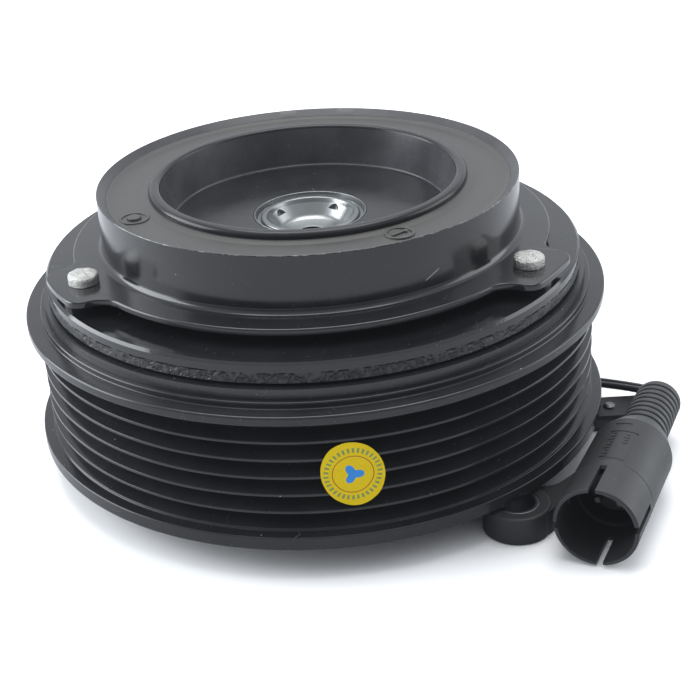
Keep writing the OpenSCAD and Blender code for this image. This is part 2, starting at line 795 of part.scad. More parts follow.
mounting_plate();
coil_housing();
coil_bobbin();
coil_winding();
coil_potting();
coil_retaining_ring();
bearing_inner_ring();
bearing_retaining_ring();
wire_grommet();
lead_wires();
wire_bracket();
bracket_rivet();
connector_housing();
eye_sleeve();
pin_carrier();
terminal_pins();
connector_seal();
strain_relief_boot();
pulley_ring();
rotor();
friction_ring();
bearing_outer_ring();
bearing_front_seal();
bearing_rear_seal();
bearing_circlip();
round_label();
bearing_cage();
bearing_balls();
hub_boss();
hub_cup();
shims();
rubber_damper();
damper_shell();
armature_plate();
rivets();
rivet_spacers();
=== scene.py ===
import json
import math

import bmesh
import bpy
from mathutils import Matrix, Vector, noise


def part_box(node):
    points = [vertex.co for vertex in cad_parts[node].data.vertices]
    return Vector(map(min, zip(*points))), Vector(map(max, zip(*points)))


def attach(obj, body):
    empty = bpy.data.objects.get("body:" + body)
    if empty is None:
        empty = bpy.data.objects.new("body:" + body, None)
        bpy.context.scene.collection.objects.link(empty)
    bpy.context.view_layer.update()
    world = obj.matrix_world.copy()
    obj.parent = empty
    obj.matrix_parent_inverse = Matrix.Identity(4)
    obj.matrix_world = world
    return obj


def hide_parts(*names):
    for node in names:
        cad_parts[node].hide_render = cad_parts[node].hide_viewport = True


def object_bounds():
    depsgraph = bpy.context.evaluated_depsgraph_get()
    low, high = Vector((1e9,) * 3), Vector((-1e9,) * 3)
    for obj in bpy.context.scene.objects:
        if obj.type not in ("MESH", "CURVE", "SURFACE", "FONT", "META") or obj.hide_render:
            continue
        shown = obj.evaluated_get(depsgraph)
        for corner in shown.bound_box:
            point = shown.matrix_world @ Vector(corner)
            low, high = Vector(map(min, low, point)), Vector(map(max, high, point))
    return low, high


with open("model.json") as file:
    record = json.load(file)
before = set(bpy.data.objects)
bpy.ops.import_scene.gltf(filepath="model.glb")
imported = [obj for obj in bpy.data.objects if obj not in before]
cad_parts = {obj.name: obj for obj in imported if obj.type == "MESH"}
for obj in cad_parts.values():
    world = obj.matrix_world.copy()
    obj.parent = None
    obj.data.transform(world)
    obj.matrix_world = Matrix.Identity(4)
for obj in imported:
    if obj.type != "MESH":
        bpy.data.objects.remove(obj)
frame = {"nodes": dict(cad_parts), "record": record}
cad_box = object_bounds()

# Looks of the electromagnetic clutch. Lengths are millimetres in the frame of the CAD part, and
# add_piece turns them into metres. The floor, the lights and the camera are placed in metres.
MM = 0.001
TURN = 2 * math.pi
SEGMENTS = 320
POLE_R = 1e-4
scene = bpy.context.scene


def low(node):
    """The lower corner of a node's box."""
    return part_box(node)[0] / MM


def high(node):
    """The upper corner of a node's box."""
    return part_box(node)[1] / MM


def mount(name):
    """A mount of the part, as its record states it."""
    return next(m for m in frame["record"]["mounts"] if m["name"] == name)


# ---------------------------------------------------------------- shapes
def rounded(points, steps=5):
    """A closed outline of points (x, y, corner radius), with its corners turned into arcs."""
    side_share = 0.49
    out = []
    count = len(points)
    for i, (x, y, radius) in enumerate(points):
        here = Vector((x, y))
        back = Vector(points[i - 1][:2]) - here
        ahead = Vector(points[(i + 1) % count][:2]) - here
        if radius == 0:
            out.append((x, y))
            continue
        half = back.angle(ahead) / 2
        reach = min(radius / math.tan(half), side_share * back.length, side_share * ahead.length)
        radius = reach * math.tan(half)
        centre = here + (back.normalized() + ahead.normalized()).normalized() * radius / math.sin(half)
        start = here + back.normalized() * reach - centre
        end = here + ahead.normalized() * reach - centre
        first = math.atan2(start.y, start.x)
        arc = math.remainder(math.atan2(end.y, end.x) - first, TURN)
        for k in range(steps + 1):
            angle = first + arc * k / steps
            out.append((centre.x + radius * math.cos(angle), centre.y + radius * math.sin(angle)))
    return out


def shade(mesh, sharp_angle):
    """Smooth shading, except across edges sharper than an angle in degrees."""
    mesh.polygons.foreach_set("use_smooth", [True] * len(mesh.polygons))
    mesh.set_sharp_from_angle(angle=math.radians(sharp_angle))


def add_piece(name, mesh, body, material, replaces=(), sharp_angle=38):
    """Makes a mesh in millimetres a piece of the object that moves with a body."""
    mesh.transform(Matrix.Scale(MM, 4))
    mesh.validate()
    shade(mesh, sharp_angle)
    piece = bpy.data.objects.new(name, mesh)
    scene.collection.objects.link(piece)
    mesh.materials.clear()
    mesh.materials.append(material)
    piece.modifiers.new("normals", "WEIGHTED_NORMAL").keep_sharp = True
    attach(piece, body)
    if replaces:
        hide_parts(*replaces)
    return piece


def soften(piece, width, angle):
    """Bevels the edges that are sharper than an angle in degrees."""
    edge = piece.modifiers.new("edges", "BEVEL")
    edge.limit_method = "ANGLE"
    edge.width = width * MM
    edge.segments = 2
    edge.angle_limit = math.radians(angle)


def second_paint(piece, material, where):
    """Gives a second material to the faces whose middle passes a test of its (radius, z)."""
    piece.data.materials.append(material)
    for face in piece.data.polygons:
        middle = face.center / MM
        if where(math.hypot(middle.x, middle.y), middle.z):
            face.material_index = 1


def revolve(name, profile, place=Matrix.Identity(4), segments=SEGMENTS):
    """A closed profile (r, z), drawn with its outside on the right, turned round the Z axis of place."""
    profile = [(max(r, 0.0), z) for r, z in profile]
    mesh = bmesh.new()
    poles = {k: mesh.verts.new(place @ Vector((0, 0, z))) for k, (r, z) in enumerate(profile) if r < POLE_R}
    rings = []
    for i in range(segments):
        angle = TURN * i / segments
        side = Vector((math.cos(angle), math.sin(angle), 0))
        ring = []
        for k, (r, z) in enumerate(profile):
            if k in poles:
                ring.append(poles[k])
            else:
                ring.append(mesh.verts.new(place @ (side * r + Vector((0, 0, z)))))
        rings.append(ring)
    skin(mesh, rings, loop=True)
    return to_mesh(name, mesh)


def skin(mesh, rings, loop):
    """Faces between rings of vertices that all have the same count."""
    count = len(rings[0])
    for i in range(len(rings) - (0 if loop else 1)):
        here, there = rings[i], rings[(i + 1) % len(rings)]
        for k in range(count):
            n = (k + 1) % count
            corners = list(dict.fromkeys((here[k], there[k], there[n], here[n])))
            if len(corners) > 2:
                mesh.faces.new(corners)


def to_mesh(name, built):
    """A mesh from a bmesh, with its faces turned outwards."""
    bmesh.ops.recalc_face_normals(built, faces=built.faces)
    mesh = bpy.data.meshes.new(name)
    built.to_mesh(mesh)
    built.free()
    return mesh


def extrude(name, outline, z0, z1, place=Matrix.Identity(4)):
    """A closed outline (x, y) made into a slab from z0 to z1."""
    mesh = bmesh.new()
    lower = [mesh.verts.new(place @ Vector((x, y, z0))) for x, y in outline]
    upper = [mesh.verts.new(place @ Vector((x, y, z1))) for x, y in outline]
    skin(mesh, [lower, upper], loop=False)
    mesh.faces.new(lower[::-1])
    mesh.faces.new(upper)
    return to_mesh(name, mesh)


def sweep(name, path, radius, sides=20):
    """A round wire along a path."""
    mesh = bmesh.new()
    rings = []
    for i, point in enumerate(path):
        ahead = (path[min(i + 1, len(path) - 1)] - path[max(i - 1, 0)]).normalized()
        side = Vector((0, 0, 1)).cross(ahead).normalized()
        up = ahead.cross(side)
        ring = []
        for k in range(sides):
            angle = TURN * k / sides
            ring.append(mesh.verts.new(point + radius * (math.cos(angle) * side + math.sin(angle) * up)))
        rings.append(ring)
    skin(mesh, rings, loop=False)
    mesh.faces.new(rings[0][::-1])
    mesh.faces.new(rings[-1])
    return to_mesh(name, mesh)


def combine(name, parts):
    """Several meshes as one."""
    built = bmesh.new()
    for part in parts:
        built.from_mesh(part)
    mesh = bpy.data.meshes.new(name)
    built.to_mesh(mesh)
    built.free()
    return mesh


def carve(mesh, *steps):
    """Boolean steps ("UNION" or "DIFFERENCE", mesh) on a mesh, then a clean-up of its slivers."""
    merge_within, collapse_within = 0.02, 0.01
    base = bpy.data.objects.new("carve_base", mesh)
    scene.collection.objects.link(base)
    tools = []
    for operation, tool_mesh in steps:
        tool = bpy.data.objects.new("carve_tool", tool_mesh)
        scene.collection.objects.link(tool)
        step = base.modifiers.new("step", "BOOLEAN")
        step.operation = operation
        step.solver = "EXACT"
        step.object = tool
        tools.append(tool)
    bpy.context.view_layer.update()
    made = bpy.data.meshes.new_from_object(base.evaluated_get(bpy.context.evaluated_depsgraph_get()))
    for thing in tools + [base]:
        bpy.data.objects.remove(thing)
    clean = bmesh.new()
    clean.from_mesh(made)
    bmesh.ops.remove_doubles(clean, verts=clean.verts, dist=merge_within)
    bmesh.ops.dissolve_degenerate(clean, edges=clean.edges, dist=collapse_within)
    clean.to_mesh(made)
    clean.free()
    return made


# ---------------------------------------------------------------- materials
def put(tree, kind, inputs=None, **settings):
    """Adds a shader node. An input is a value, or another node's output to link."""
    made = tree.nodes.new(kind)
    for key, value in settings.items():
        setattr(made, key, value)
    for key, value in (inputs or {}).items():
        if isinstance(value, bpy.types.NodeSocket):
            tree.links.new(value, made.inputs[key])
        else:
            made.inputs[key].default_value = value
    return made


def millimetres(tree, stretch=(1, 1, 1)):
    """The place on the object in millimetres, stretched along the axes."""
    place = put(tree, "ShaderNodeTexCoord").outputs["Object"]
    scale = put(tree, "ShaderNodeVectorMath", {0: place, 1: [s / MM for s in stretch]}, operation="MULTIPLY")
    return scale.outputs[0]


def grain(tree, place, size, seed, detail=2.0, rough=0.5):
    """Noise whose lumps are about size millimetres."""
    made = put(tree, "ShaderNodeTexNoise",
               {"Vector": place, "W": seed, "Scale": 1 / size, "Detail": detail, "Roughness": rough},
               noise_dimensions="4D")
    return made.outputs["Fac"]


def remap(tree, value, source, target):
    """A value carried from one range to another, and held at its ends."""
    made = put(tree, "ShaderNodeMapRange",
               {"Value": value, "From Min": source[0], "From Max": source[1],
                "To Min": target[0], "To Max": target[1]})
    return made.outputs[0]


def maths(tree, operation, a, b=0.0, c=0.0):
    """One step of arithmetic. An operand is a number or an output."""
    return put(tree, "ShaderNodeMath", {0: a, 1: b, 2: c}, operation=operation).outputs[0]


def mix(tree, share, a, b):
    """A blend of two colours, with the share of the second."""
    made = put(tree, "ShaderNodeMix", {0: share, 6: a, 7: b}, data_type="RGBA")
    return made.outputs[2]


def specks(tree, place, spacing, radius, share, seed):
    """Sparse round dots: 1 inside a dot, 0 outside."""
    shift = (seed, 2 * seed, 3 * seed)
    moved = put(tree, "ShaderNodeVectorMath", {0: place, 1: shift}, operation="ADD").outputs[0]
    cells = put(tree, "ShaderNodeTexVoronoi", {"Vector": moved, "Scale": 1 / spacing})
    dot = remap(tree, cells.outputs["Distance"], (0.6 * radius / spacing, radius / spacing), (1, 0))
    pick = put(tree, "ShaderNodeSeparateColor", {0: cells.outputs["Color"]}).outputs[0]
    chosen = maths(tree, "LESS_THAN", pick, share)
    return maths(tree, "MULTIPLY", dot, chosen)


def hairlines(tree, place, size, width, seed):
    """Thin wandering lines, broken up."""
    field = grain(tree, place, size, seed, detail=1.0)
    off = maths(tree, "ABSOLUTE", maths(tree, "SUBTRACT", field, 0.5))
    line = remap(tree, off, (0, width), (1, 0))
    gate = remap(tree, grain(tree, place, size * 0.6, seed + 7, detail=1.0), (0.58, 0.62), (0, 1))
    return maths(tree, "MULTIPLY", line, gate)


DUST_COLOUR = (0.42, 0.43, 0.45, 1)
CRUST_SIZE = 1.3
CRUST_DEPTH = 0.16


def finish_material(name, colour, roughness, metal=0.0, worn=None, wear=0.3, dust=0.3, scratch=0.3,
                    peel=0.012, peel_size=1.8, tooth=0.004, tooth_size=0.25, stretch=(1, 1, 1),
                    seed=1.0, mottle=0.5, specular=0.5, extra=None, pitted=None):
    """A worn surface: mottled colour, dust, scratches, changing roughness and two sizes of bump.

    Peel and tooth are the heights of the two bumps. Extra changes the colour further, and pitted
    names the heights on the object between which the surface is crusty.
    """
    material = bpy.data.materials.new(name)
    material.use_nodes = True
    tree = material.node_tree
    shader = tree.nodes["Principled BSDF"]
    place = millimetres(tree, stretch)
    plain = millimetres(tree)
    worn = worn or [min(1.0, 1.6 * c + 0.02) for c in colour]
    patches = grain(tree, plain, 11, seed, detail=4, rough=0.6)
    fine = grain(tree, place, tooth_size, seed + 3, detail=3, rough=0.65)
    soft = grain(tree, place, peel_size, seed + 5, detail=1.5)
    base = mix(tree, remap(tree, patches, (0.35, 0.68), (0, mottle)), (*colour, 1), (*worn, 1))
    base = mix(tree, remap(tree, fine, (0.55, 0.8), (0, wear)), base, (*worn, 1))
    coarse_dust = specks(tree, plain, 1.9, 0.13, 0.16 * dust, seed)
    fine_dust = specks(tree, plain, 0.8, 0.055, 0.30 * dust, seed + 11)
    dirt = maths(tree, "MAXIMUM", coarse_dust, fine_dust)
    marks = maths(tree, "MULTIPLY", hairlines(tree, plain, 6.5, 0.0016, seed + 2), scratch)
    marks = maths(tree, "MAXIMUM", marks, maths(tree, "MULTIPLY", dirt, 0.85))
    base = mix(tree, marks, base, DUST_COLOUR)
    if extra:
        base = extra(tree, plain, base)
    rough = remap(tree, patches, (0.3, 0.75), (roughness * 0.82, roughness * 1.25))
    rough = maths(tree, "ADD", rough, remap(tree, fine, (0.4, 0.8), (0, 0.08 * wear)))
    rough = maths(tree, "MULTIPLY_ADD", marks, 0.35, rough)
    relief = maths(tree, "ADD", maths(tree, "MULTIPLY", soft, peel), maths(tree, "MULTIPLY", fine, tooth))
    relief = maths(tree, "MULTIPLY_ADD", dirt, 0.02 * min(1, dust * 3), relief)
    if pitted:
        z = put(tree, "ShaderNodeSeparateXYZ", {0: plain}).outputs["Z"]
        above = remap(tree, z, (pitted[0] - 0.2, pitted[0] + 0.2), (0, 1))
        below = remap(tree, z, (pitted[1] - 0.3, pitted[1]), (1, 0))
        inside = maths(tree, "MULTIPLY", above, below)
        lumps = grain(tree, plain, CRUST_SIZE, seed + 9, detail=3, rough=0.6)
        crust = remap(tree, lumps, (0.44, 0.58), (0, 1))
        crust = maths(tree, "MULTIPLY", crust, inside)
        base = mix(tree, crust, base, (*[0.6 * c for c in colour], 1))
        rough = maths(tree, "MULTIPLY_ADD", inside, 0.2, rough)
        relief = maths(tree, "MULTIPLY_ADD", crust, -CRUST_DEPTH, relief)
    bump = put(tree, "ShaderNodeBump", {"Strength": 1.0, "Distance": MM, "Height": relief})
    tree.links.new(base, shader.inputs["Base Color"])
    tree.links.new(rough, shader.inputs["Roughness"])
    tree.links.new(bump.outputs[0], shader.inputs["Normal"])
    shader.inputs["Metallic"].default_value = metal
    shader.inputs["Specular IOR Level"].default_value = specular
    return material


def black_paint(name, seed, level=0.012, roughness=0.13, **other):
    """Thick black dip paint."""
    colour = (level, level, level * 1.08)
    return finish_material(name, colour, roughness, worn=[2.2 * c for c in colour], seed=seed, **other)


def bare_metal(name, seed, colour, roughness=0.28, **other):
    """Metal without paint, darker where it is worn."""
    return finish_material(name, colour, roughness, metal=1.0, worn=[0.62 * c for c in colour],
                           seed=seed, **other)


paint_pulley = black_paint("paint_pulley", 2, level=0.012, roughness=0.16, specular=0.36, dust=0.6,
                           scratch=0.18, wear=0.5)
paint_cup = black_paint("paint_cup", 8, level=0.042, roughness=0.26, specular=0.30, dust=0.4, scratch=0.12,
                        peel=0.01)
# A darker copy of the cup's paint for its floor and lip: painted shade in the recess
cup_floor_shade_paint = black_paint("cup_floor_shade_paint", 9, level=0.014, roughness=0.20, specular=0.26, dust=0.5,
                              scratch=0.12, peel=0.012)
armature_rear_z = low("armature_plate").z
paint_armature = black_paint("paint_armature", 11, level=0.007, roughness=0.09, dust=0.5, scratch=0.15,
                             peel=0.02, wear=0.7, pitted=(armature_rear_z, armature_rear_z + 2.2))
paint_coil = black_paint("paint_coil", 14, level=0.016, roughness=0.28, dust=0.5, scratch=0.2, wear=0.6)
paint_strip = black_paint("paint_strip", 16, level=0.010, roughness=0.5, dust=0.4, wear=0.8, specular=0.3)
rubber = finish_material("damper_rubber", (0.034, 0.033, 0.031), 0.42, worn=(0.060, 0.058, 0.053), seed=21,
                         wear=0.5, dust=0.35, scratch=0.08, peel=0.02, peel_size=2.6, tooth=0.008)
plastic = finish_material("connector_plastic", (0.020, 0.021, 0.022), 0.45, worn=(0.036, 0.036, 0.038),
                          seed=24, wear=0.5, dust=0.3, scratch=0.15, peel=0.01, tooth=0.012,
                          tooth_size=0.16, specular=0.35)
boot_rubber = finish_material("boot_rubber", (0.026, 0.027, 0.029), 0.5, worn=(0.045, 0.045, 0.046), seed=27,
                              wear=0.5, dust=0.3, scratch=0.1, peel=0.01, tooth=0.01)
wire_skin = finish_material("wire_insulation", (0.022, 0.022, 0.025), 0.35, seed=30, dust=0.2, peel=0.01)
sleeve_steel = bare_metal("sleeve_steel", 33, (0.16, 0.16, 0.17), 0.38, peel=0.02, tooth=0.006)
hammered = bare_metal("hammered_zinc", 35, (0.56, 0.56, 0.53), 0.28, peel=0.2, peel_size=0.8, tooth=0.55,
                      tooth_size=0.36, wear=1.0, mottle=0.5, dust=0.1, scratch=0.1)
turned_steel = bare_metal("turned_steel", 37, (0.58, 0.58, 0.57), 0.2, peel=0.004, tooth=0.006,
                          stretch=(1, 1, 6))
hub_steel = bare_metal("hub_steel", 39, (0.25, 0.26, 0.26), 0.30, peel=0.03, tooth=0.008, mottle=0.4,
                       dust=0.2)


# ---------------------------------------------------------------- pulley and rotor
flange_r = high("pulley_ring").x
pulley_rear_z = low("pulley_ring").z
pulley_top_z = high("pulley_ring").z
groove_count = 6
groove_pitch = 3.56
groove_depth = 3.2
groove_half_w = 1.515
root_half_w = 0.35
crest_r = flange_r - 2.2
first_groove_z = pulley_rear_z + 4.84
front_flange_z = pulley_top_z - 1.25
front_flange_t = 1.75
shoulder_r = flange_r - 3
crest_round = 0.16
drum_r = 50.5
disc_r = high("rotor").x
disc_rear_z = high("rotor").z - 4.4


def pulley():
    """Two flanges with six V grooves between them, round the rotor's drum."""
    profile = [(drum_r, pulley_rear_z, 0.2), (flange_r, pulley_rear_z, 0.5),
               (flange_r, first_groove_z - 2.1, 0.3), (crest_r + 0.1, first_groove_z - 1.9, 0.2)]
    root_r = crest_r - groove_depth
    for i in range(groove_count):
        z = first_groove_z + i * groove_pitch
        profile += [(crest_r, z - groove_half_w, crest_round), (root_r, z - root_half_w, 0.3),
                    (root_r, z + root_half_w, 0.3), (crest_r, z + groove_half_w, crest_round)]
    lip_z = front_flange_z - front_flange_t
    profile += [(crest_r + 0.05, lip_z - 0.5, 0.1), (flange_r, lip_z, 0.35),
                (flange_r, front_flange_z, 0.45), (shoulder_r, front_flange_z, 0.25),
                (shoulder_r, pulley_top_z, 0.3), (disc_r, pulley_top_z, 0.05),
                (disc_r, disc_rear_z, 0.05), (drum_r, disc_rear_z, 0.05)]
    mesh = revolve("pulley_ring_body", rounded(profile), segments=384)
    add_piece("pulley_ring_body", mesh, "rotor", paint_pulley, ["pulley_ring"])


pulley()


# ---------------------------------------------------------------- shell with its foot and ears
foot_z = low("damper_shell").z
foot_top_z = foot_z + 1.3
shell_top_z = high("damper_shell").z
shell_r = 41.6
shell_bore_r = 39.9
rim_bevel = 1.5
foot_r = 47.5
ear_end_r = 53.8
ear_half_w = 8.5
ear_corner_r = 3.0
ear_fillet_r = 4.5
ear_count = 3
first_ear = math.radians(-33)
rivet_pitch_r = 48.0
scratch_at = math.radians(-58.5)
scratch_z = shell_top_z - 8.1
scratch_slant = math.radians(27)
scratch_half_l = 1.9
scratch_half_w = 0.05
# Heights of the band of painted glints along the rim's top edge
glint_start_z = shell_top_z - 0.44
glint_full_z = shell_top_z - 0.30


def scratch_and_edge_glint(tree, place, base):
    """Painted glints along the shell's front edge, where the paint's edge catches the light, and one
    slanting scratch on its side.
    """
    split = put(tree, "ShaderNodeSeparateXYZ", {0: place})
    z = split.outputs["Z"]
    round_it = maths(tree, "ARCTAN2", split.outputs["Y"], split.outputs["X"])
    u = maths(tree, "MULTIPLY", maths(tree, "SUBTRACT", round_it, scratch_at), shell_r)
    v = maths(tree, "SUBTRACT", z, scratch_z)
    cos, sin = math.cos(scratch_slant), math.sin(scratch_slant)
    along = maths(tree, "MULTIPLY_ADD", u, cos, maths(tree, "MULTIPLY", v, sin))
    across = maths(tree, "MULTIPLY_ADD", u, -sin, maths(tree, "MULTIPLY", v, cos))
    length = remap(tree, maths(tree, "ABSOLUTE", along), (scratch_half_l - 0.6, scratch_half_l), (1, 0))
    width = remap(tree, maths(tree, "ABSOLUTE", across), (scratch_half_w, 2 * scratch_half_w), (1, 0))
    base = mix(tree, maths(tree, "MULTIPLY", length, width), base, (0.35, 0.35, 0.33, 1))
    # Painted highlight: grey flecks near the top edge stand for glints of light on the paint's edge
    near = remap(tree, z, (glint_start_z, glint_full_z), (0, 1))
    glints = remap(tree, grain(tree, place, 1.1, 91, detail=4, rough=0.7), (0.46, 0.70), (0, 1))
    return mix(tree, maths(tree, "MULTIPLY", near, glints), base, (0.40, 0.40, 0.39, 1))


paint_shell = black_paint("paint_shell", 5, level=0.010, roughness=0.16, dust=0.4, scratch=0.12,
                          peel=0.008, extra=scratch_and_edge_glint)
paint_rim = black_paint("paint_rim_worn", 6, level=0.028, roughness=0.32, dust=0.8, scratch=0.3,
                        peel=0.02, wear=1.0)


def ear_side():
    """Outline from the middle of an ear to the middle of the gap beside it, as (angle, radius)."""
    tip_steps, corner_steps, gap_steps = 12, 14, 40
    corner = Vector((math.sqrt((ear_end_r - ear_corner_r) ** 2 - (ear_half_w - ear_corner_r) ** 2),
                     ear_half_w - ear_corner_r))
    fillet = Vector((math.sqrt((foot_r + ear_fillet_r) ** 2 - (ear_half_w + ear_fillet_r) ** 2),
                     ear_half_w + ear_fillet_r))
    tilt = math.atan2(corner.y, corner.x)
    points = []
    for k in range(tip_steps):
        angle = tilt * k / tip_steps
        points.append(Vector((ear_end_r * math.cos(angle), ear_end_r * math.sin(angle))))
    for k in range(corner_steps + 1):
        angle = tilt + (math.pi / 2 - tilt) * k / corner_steps
        points.append(corner + ear_corner_r * Vector((math.cos(angle), math.sin(angle))))
    join = math.atan2(fillet.y, fillet.x)
    for k in range(corner_steps + 1):
        angle = -math.pi / 2 - (math.pi / 2 - join) * k / corner_steps
        points.append(fillet + ear_fillet_r * Vector((math.cos(angle), math.sin(angle))))
    side = [(math.atan2(p.y, p.x), p.length) for p in points]
    last = TURN / ear_count / 2
    side += [(join + (last - join) * k / gap_steps, foot_r) for k in range(1, gap_steps + 1)]
    return side


def foot_stations():
    """The whole edge of the foot, as (angle, radius)."""
    side = ear_side()
    one_ear = [(-angle, radius) for angle, radius in side[:0:-1]] + side[:-1]
    return [(first_ear + TURN * ear / ear_count + angle, radius)
            for ear in range(ear_count) for angle, radius in one_ear]


def shell():
    """A ring whose foot spreads into three ears. The bevel of its rim has a worn paint."""
    mesh = bmesh.new()
    rings = []
    for angle, edge_r in foot_stations():
        section = rounded([
            (shell_bore_r, foot_z, 0.2), (edge_r, foot_z, 0.25), (edge_r, foot_top_z, 0.4),
            (shell_r, foot_top_z, 1.3), (shell_r, shell_top_z, 0.2),
            (shell_bore_r, shell_top_z - rim_bevel, 0.1)])
        side = Vector((math.cos(angle), math.sin(angle), 0))
        rings.append([mesh.verts.new(side * r + Vector((0, 0, z))) for r, z in section])
    skin(mesh, rings, loop=True)
    name = "damper_shell_pressing"
    piece = add_piece(name, to_mesh(name, mesh), "armature", paint_shell, ["damper_shell"])
    second_paint(piece, paint_rim, lambda r, z: z > shell_top_z - rim_bevel and r < shell_r - 0.1)


shell()


# ---------------------------------------------------------------- cup, rubber and hub
cup_floor_z = 47.4
cup_floor_t = 1.5
cup_floor_r = 27.6
cup_mouth_r = 29.3
cup_flare_z = 53.0
bead_under_z = 53.8
cup_lip_z = high("hub_cup").z
bead_r = high("hub_cup").x
hub_disc_r = 9.9
hub_edge_r = 11.3
hub_barrel_r = 9.5
hub_flange_r = 14
hub_shoulder_z = 43.4
dish_r = 8.3
stake_count, first_stake = 4, 52
stake_at_r, stake_r = 6.9, 1.4
hub_top_z = high("hub_boss").z
rubber_top_z = high("rubber_damper").z


def cup():
    """A pressed cup with a rolled lip. Its floor and lip take a darker paint, which on the floor is painted
    shade of the recess.
    """
    under = cup_floor_z - cup_floor_t
    profile = [(hub_disc_r, under, 0.05), (cup_floor_r + 0.9, under, 1.5),
               (cup_mouth_r + 1.6, cup_flare_z, 0.4), (bead_r, bead_under_z, 0.5), (bead_r, cup_lip_z, 1.1),
               (cup_mouth_r, cup_lip_z, 0.75), (cup_floor_r, cup_floor_z, 0.55),
               (hub_edge_r, cup_floor_z, 0.15), (hub_edge_r, under + 0.3, 0.05),
               (hub_disc_r, under + 0.3, 0.05)]
    mesh = revolve("hub_cup_pressing", rounded(profile, steps=7))
    piece = add_piece("hub_cup_pressing", mesh, "hub", paint_cup, ["hub_cup"])
    second_paint(piece, cup_floor_shade_paint, lambda r, z: z < cup_floor_z + 0.1 or r > cup_mouth_r - 0.15)


def boss():
    """The turned hub: a flange under the cup, a groove round its disc, a dish and four stake marks."""
    rear_z = low("hub_boss").z
    bolt = mount("shaft_bolt_hole")
    bolt_r = bolt["dims"]["r_mm"]
    dish_floor_z = bolt["pos_m"][2] / MM - 0.5
    bore = mount("shaft_bore")["dims"]
    bore_r, bore_end = bore["r_mm"], rear_z + bore["length_mm"]
    under = cup_floor_z - cup_floor_t
    groove_under_z, groove_z, groove_top_z = cup_floor_z - 1.15, cup_floor_z - 1.1, cup_floor_z + 0.05
    groove_edge_r = hub_edge_r - 0.02
    profile = [(bore_r, rear_z, 0.3), (hub_barrel_r, rear_z, 0.4), (hub_barrel_r, hub_shoulder_z, 0.1),
               (hub_flange_r, hub_shoulder_z, 0.2), (hub_flange_r, under, 0.05), (hub_disc_r, under, 0.05),
               (hub_disc_r, groove_under_z, 0.0), (groove_edge_r, groove_under_z, 0.0),
               (groove_edge_r, groove_top_z, 0.1), (hub_edge_r - 0.35, groove_top_z, 0.1),
               (hub_edge_r - 0.6, groove_z, 0.2), (hub_disc_r, groove_z, 0.2), (hub_disc_r, hub_top_z, 0.4),
               (dish_r + 0.4, hub_top_z, 0.3), (dish_r, hub_top_z - 0.9, 0.8),
               (dish_r - 2, dish_floor_z + 0.4, 2.0),
               (bolt_r, dish_floor_z, 0.15), (bolt_r, bore_end, 0.1), (bore_r, bore_end, 0.1)]
    mesh = revolve("hub_boss_turned", rounded(profile), segments=192)
    pockets = []
    for k in range(stake_count):
        turn = Matrix.Rotation(math.radians(first_stake + 360 / stake_count * k), 4, "Z")
        place = turn @ Matrix.Translation((stake_at_r, 0, hub_top_z - 2.0))
        cutter = [(0, 0), (stake_r, 0.15), (stake_r, 4), (0, 4)]
        pockets.append(revolve("pocket", cutter, place, segments=32))
    mesh = carve(mesh, ("DIFFERENCE", combine("pockets", pockets)))
    add_piece("hub_boss_turned", mesh, "hub", hub_steel, ["hub_boss"], sharp_angle=30)


def raised_ring(place, radius, width, height):
    """A low moulded ring on the rubber."""
    profile = rounded([(radius - width, -0.3, 0), (radius, -0.3, 0), (radius, height, 0.12),
                       (radius - width, height, 0.12)])
    return revolve("raised_ring", profile, place, segments=64)


def damper():
    """The rubber ring, with two moulded marks: a ring with a nub, and a small dial with a pointer."""
    inner_r = cup_mouth_r + 1.7
    outer_r = shell_bore_r - 0.02
    inner_rear_z, outer_rear_z, inner_front_z = 47.3, 45.5, 53.6
    top_z = rubber_top_z - 0.35
    profile = rounded([(cup_floor_r + 1.7, inner_rear_z, 0.1), (outer_r, outer_rear_z, 0.1),
                       (outer_r, rubber_top_z - 0.02, 0.0), (shell_bore_r - 1.2, top_z, 1.0),
                       (inner_r + 2.2, top_z, 1.5), (inner_r + 0.45, rubber_top_z, 0.2),
                       (inner_r, inner_front_z, 0)])
    parts = [revolve("rubber_body", profile)]
    nub_at = Matrix.Rotation(math.radians(-154.7), 4, "Z") @ Matrix.Translation((36.3, 0, top_z))
    parts.append(raised_ring(nub_at, 2.9, 0.5, 0.22))
    parts.append(revolve("nub", rounded([(0, -0.3, 0), (1.45, -0.3, 0), (1.3, 0.5, 0.3), (0, 0.62, 0)]),
                         nub_at, segments=48))
    dial_at = Matrix.Rotation(math.radians(-62), 4, "Z") @ Matrix.Translation((34.9, 0, top_z))
    parts.append(raised_ring(dial_at, 2.75, 0.5, 0.32))
    pointer = rounded([(-1.9, -0.2, 0.1), (1.1, -0.2, 0.1), (1.1, -0.8, 0.1), (2.0, 0, 0.1), (1.1, 0.8, 0.1),
                       (1.1, 0.2, 0.1), (-1.9, 0.2, 0.1)], steps=2)
    pointer_at = dial_at @ Matrix.Rotation(math.radians(100), 4, "Z")
    parts.append(extrude("pointer", pointer, -0.3, 0.32, pointer_at))
    add_piece("rubber_damper_ring", combine("rubber_damper_ring", parts), "hub", rubber, ["rubber_damper"])


cup()
boss()
damper()


